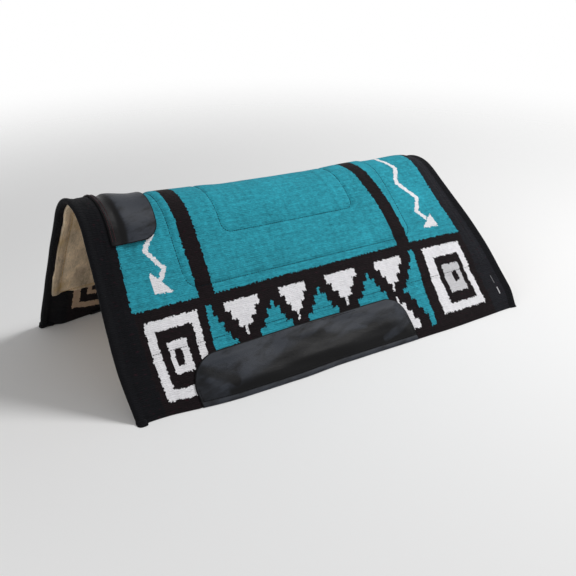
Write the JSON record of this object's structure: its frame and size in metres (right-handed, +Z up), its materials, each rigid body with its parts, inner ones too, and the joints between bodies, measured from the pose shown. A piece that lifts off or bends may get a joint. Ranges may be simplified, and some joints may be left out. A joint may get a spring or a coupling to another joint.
{
  "type": "saddle pad",
  "caption": "Western cutter saddle pad: woven wool blanket over a felt filler, tan lining, black bound ends, withers leather and wear leathers at the hems; its sides fold at the shoulders.",
  "frame": {"origin": "centre of the standing pad's footprint, on the floor that its hems stand on", "axes": "+X from the front (withers) edge to the rear edge, +Y toward the off side, +Z up"},
  "size_m": [0.8128, 0.5896, 0.3098],
  "materials": {
    "woven_wool": "coarse woven wool, teal field with black and white figures",
    "black_wool": "matte black wool band",
    "felt_filler": "grey pressed felt",
    "tan_lining": "soft tan felt",
    "black_leather": "smooth black leather with a soft gloss"
  },
  "bodies": {
    "crown": {"blanket_crown": "woven_wool", "filler_crown": "felt_filler", "lining_crown": "tan_lining", "front_binding_crown": "black_wool", "rear_binding_crown": "black_wool", "withers_leather": "black_leather"},
    "near_side": {"blanket_near_side": "woven_wool", "filler_near_side": "felt_filler", "lining_near_side": "tan_lining", "front_binding_near_side": "black_wool", "rear_binding_near_side": "black_wool", "wear_leather_near_side": "black_leather"},
    "off_side": {"blanket_off_side": "woven_wool", "filler_off_side": "felt_filler", "lining_off_side": "tan_lining", "front_binding_off_side": "black_wool", "rear_binding_off_side": "black_wool", "wear_leather_off_side": "black_leather"}
  },
  "joints": [
    {"name": "near_side_fold", "type": "hinge", "parent": "crown", "child": "near_side", "pos_m": [0, -0.08365, 0.22146], "axis": [0.9982, -0.028, -0.0537], "range_deg": [-60, 28], "stiffness_Nm_per_rad": 15},
    {"name": "off_side_fold", "type": "hinge", "parent": "crown", "child": "off_side", "pos_m": [0, 0.08365, 0.22146], "axis": [-0.9982, -0.028, 0.0537], "range_deg": [-60, 28], "stiffness_Nm_per_rad": 15}
  ]
}
